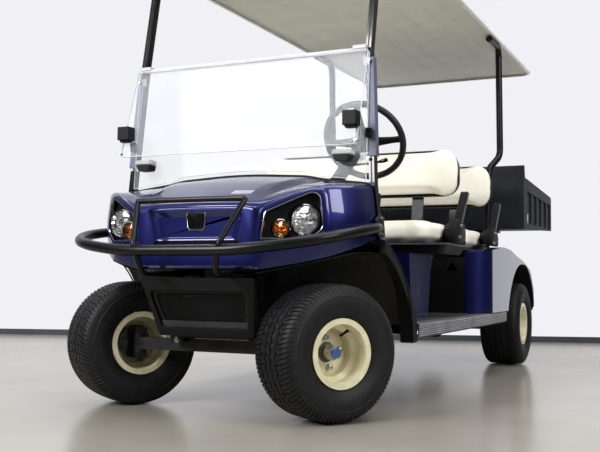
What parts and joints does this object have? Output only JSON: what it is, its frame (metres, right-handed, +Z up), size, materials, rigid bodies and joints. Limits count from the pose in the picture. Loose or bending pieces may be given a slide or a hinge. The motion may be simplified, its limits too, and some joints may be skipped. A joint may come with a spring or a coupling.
{
  "type": "golf cart",
  "caption": "Stretched utility golf cart: two bench seats under one long canopy, steered front wheels, a folded windscreen, a front brush guard and a tipping cargo bed with a drop tailgate.",
  "frame": {"origin": "on the ground under the middle of the cart's length and width", "axes": "+Z up, +Y along the length towards the cargo bed, so the cart faces -Y; +X is the driver's left"},
  "size_m": [1.227, 3.667, 1.8501],
  "materials": {
    "tyre": "matt",
    "wheel_paint": "satin",
    "axle_steel": "satin",
    "hub_steel": "satin",
    "body_paint": "gloss",
    "black_plastic": "grained",
    "black_tube": "satin",
    "floor_rubber": "ribbed",
    "rocker_plastic": "dotted",
    "seat_vinyl": "satin",
    "canopy": "satin",
    "clear_sheet": "clear",
    "lamp_lens": "clear",
    "amber_lens": "gloss",
    "bed_plastic": "grained",
    "grip": "fine grain"
  },
  "bodies": {
    "chassis": {"steering_column": "black_plastic", "front_axle": "axle_steel", "rear_axle": "axle_steel", "springs": "axle_steel", "side_rails": "black_tube", "crossmembers": "black_tube", "bed_posts": "black_tube", "rear_bumper": "black_tube", "floor": "floor_rubber", "rockers": "rocker_plastic", "front_cowl": "body_paint", "lamp_pods": "black_plastic", "headlamps": "lamp_lens", "turn_lamps": "amber_lens", "fascia": "black_plastic", "grille": "black_plastic", "arch_liners": "black_plastic", "brush_guard": "black_tube", "cowl_frame": "black_tube", "dash": "black_plastic", "pedals": "black_tube", "windscreen": "clear_sheet", "windscreen_clips": "black_plastic", "roof_struts": "black_tube", "roof": "canopy", "front_pod": "body_paint", "power_block": "axle_steel", "seat_trays": "black_plastic", "seat_cushions": "seat_vinyl", "backrests": "seat_vinyl", "backrest_shells": "black_plastic", "seat_frames": "black_tube", "hip_restraints": "black_plastic", "rear_body": "body_paint", "rear_pod": "black_plastic", "rear_deck": "black_plastic"},
    "knuckle_left": {"knuckle_left": "axle_steel"},
    "knuckle_right": {"knuckle_right": "axle_steel"},
    "tie_rod": {"tie_rod": "axle_steel"},
    "steering_wheel": {"steering_wheel": "grip"},
    "wheel_fl": {"tyre_fl": "tyre", "rim_fl": "wheel_paint", "hub_fl": "hub_steel"},
    "wheel_fr": {"tyre_fr": "tyre", "rim_fr": "wheel_paint", "hub_fr": "hub_steel"},
    "wheel_rl": {"tyre_rl": "tyre", "rim_rl": "wheel_paint", "hub_rl": "hub_steel"},
    "wheel_rr": {"tyre_rr": "tyre", "rim_rr": "wheel_paint", "hub_rr": "hub_steel"},
    "bed": {"bed": "bed_plastic", "bed_subframe": "black_tube", "bed_latches": "hub_steel"},
    "tailgate": {"tailgate": "bed_plastic"}
  },
  "joints": [
    {"name": "steer_left", "type": "hinge", "parent": "chassis", "child": "knuckle_left", "pos_m": [0.357, -1.4965, 0.2285], "axis": [0, 0, 1], "range_deg": [-2, 66]},
    {"name": "steer_right", "type": "hinge", "parent": "chassis", "child": "knuckle_right", "pos_m": [-0.357, -1.4965, 0.2285], "axis": [0, 0, 1], "range_deg": [-2, 66]},
    {"name": "tie_rod_pivot", "type": "hinge", "parent": "knuckle_left", "child": "tie_rod", "pos_m": [0.36918, -1.42039, 0.2215], "axis": [0, 0, 1], "range_deg": [-72, 3]},
    {"name": "steering_wheel_turn", "type": "hinge", "parent": "chassis", "child": "steering_wheel", "pos_m": [0.25, -0.7465, 1.06], "axis": [0, 0.832, 0.5548], "range_deg": [-20, 540]},
    {"name": "front_left_spin", "type": "hinge", "parent": "knuckle_left", "child": "wheel_fl", "pos_m": [0.41721, -1.53412, 0.2285], "axis": [0.848, -0.5299, 0], "continuous": true},
    {"name": "front_right_spin", "type": "hinge", "parent": "knuckle_right", "child": "wheel_fr", "pos_m": [-0.41721, -1.45888, 0.2285], "axis": [0.848, -0.5299, 0], "continuous": true},
    {"name": "rear_left_spin", "type": "hinge", "parent": "chassis", "child": "wheel_rl", "pos_m": [0.5055, 0.8715, 0.2285], "axis": [1, 0, 0], "continuous": true},
    {"name": "rear_right_spin", "type": "hinge", "parent": "chassis", "child": "wheel_rr", "pos_m": [-0.5055, 0.8715, 0.2285], "axis": [1, 0, 0], "continuous": true},
    {"name": "bed_tilt", "type": "hinge", "parent": "chassis", "child": "bed", "pos_m": [0, 1.4935, 0.746], "axis": [-1, 0, 0], "range_deg": [0, 40]},
    {"name": "tailgate_drop", "type": "hinge", "parent": "bed", "child": "tailgate", "pos_m": [0, 1.8245, 0.827], "axis": [-1, 0, 0], "range_deg": [0, 90]}
  ],
  "couplings": [
    {"joint": "steer_right", "follows": "steer_left", "ratio": 1},
    {"joint": "tie_rod_pivot", "follows": "steer_left", "ratio": -1.086},
    {"joint": "steering_wheel_turn", "follows": "steer_left", "ratio": 8}
  ]
}
